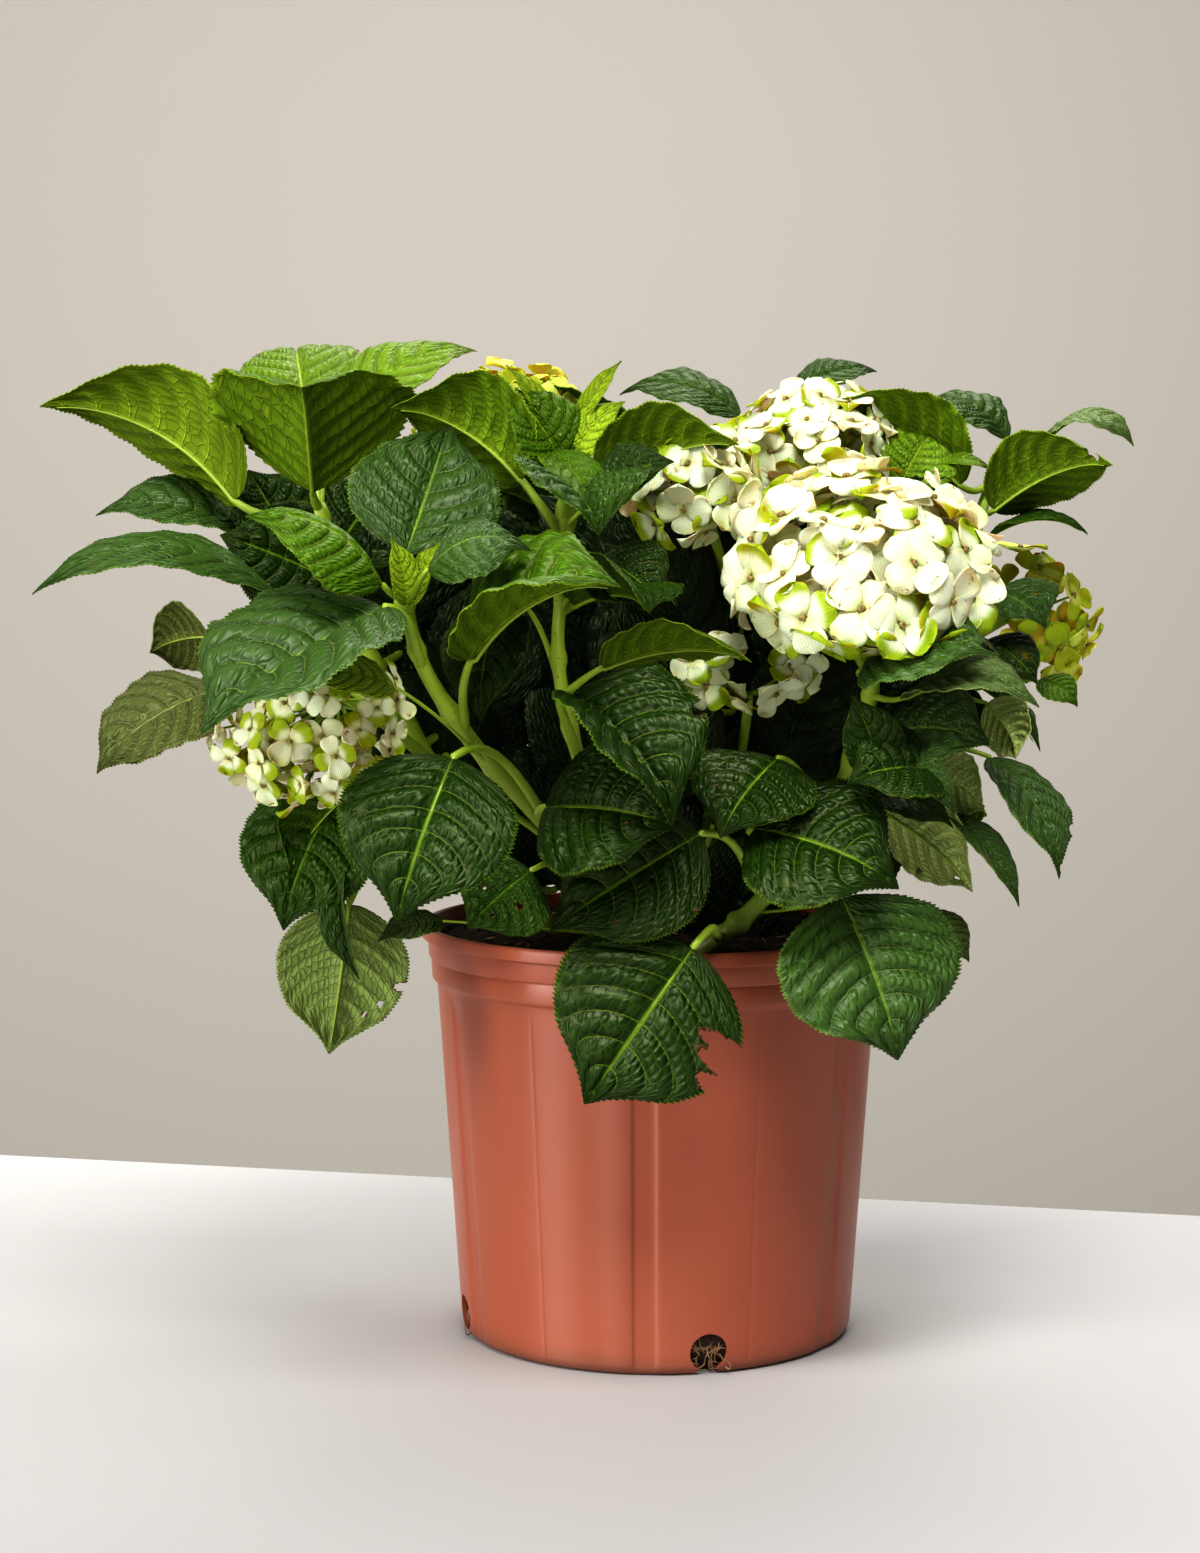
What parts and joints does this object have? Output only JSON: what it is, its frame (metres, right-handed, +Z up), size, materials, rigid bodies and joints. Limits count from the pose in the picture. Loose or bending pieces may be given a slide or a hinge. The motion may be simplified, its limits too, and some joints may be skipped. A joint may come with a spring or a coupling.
{
  "type": "potted hydrangea",
  "caption": "Leafy mophead hydrangea in a thin-walled round nursery pot with upright grooves, a stepped collar and drainage notches; stands on its flat base.",
  "frame": {"origin": "centre of the pot's flat underside, on the surface it stands on", "axes": "+Z up; -Y towards the side with the fullest foliage; +X to the right of a viewer who looks along +Y"},
  "size_m": [0.6244, 0.5291, 0.5884],
  "materials": {
    "pot_plastic": "satin",
    "soil": "matte",
    "stem": "satin",
    "leaf": "satin",
    "petal": "matte"
  },
  "bodies": {
    "root": {"pot": "pot_plastic", "potting_soil": "soil", "cane_left": "stem", "cane_front": "stem", "cane_centre": "stem", "cane_upper": "stem", "cane_right": "stem", "cane_low": "stem", "cane_back_left": "stem", "cane_back_right": "stem", "head_front": "petal", "head_upper": "petal", "head_middle": "petal", "head_right": "petal", "head_left": "petal", "head_low": "petal", "head_back": "petal", "leaf_left_high": "leaf", "leaf_left_cupped": "leaf", "leaf_left_bright": "leaf", "leaf_left_rear": "leaf", "leaf_left_grey": "leaf", "leaf_left_long": "leaf", "leaf_left_shade": "leaf", "leaf_left_pale": "leaf", "leaf_left_low": "leaf", "leaf_left_under": "leaf", "leaf_front_side": "leaf", "leaf_front_upright": "leaf", "leaf_front_small": "leaf", "leaf_front_big": "leaf", "leaf_front_folded": "leaf", "leaf_front_low": "leaf", "leaf_middle_low": "leaf", "leaf_middle_turned": "leaf", "leaf_middle_bottom": "leaf", "leaf_middle_round": "leaf", "leaf_middle_corner": "leaf", "leaf_middle_flat": "leaf", "leaf_middle_under": "leaf", "leaf_top_left": "leaf", "leaf_top_right": "leaf", "leaf_top_front": "leaf", "leaf_top_back": "leaf", "leaf_right_arching": "leaf", "leaf_right_back": "leaf", "leaf_right_under": "leaf", "leaf_right_far": "leaf", "leaf_right_between": "leaf", "leaf_right_curled": "leaf", "leaf_right_spread": "leaf", "leaf_right_glossy": "leaf", "leaf_right_hanging": "leaf", "leaf_right_light": "leaf", "leaf_right_bottom": "leaf", "leaf_pot_front": "leaf", "leaf_pot_right": "leaf", "leaf_back_high": "leaf", "leaf_back_wide": "leaf", "leaf_back_side": "leaf"}
  },
  "joints": []
}
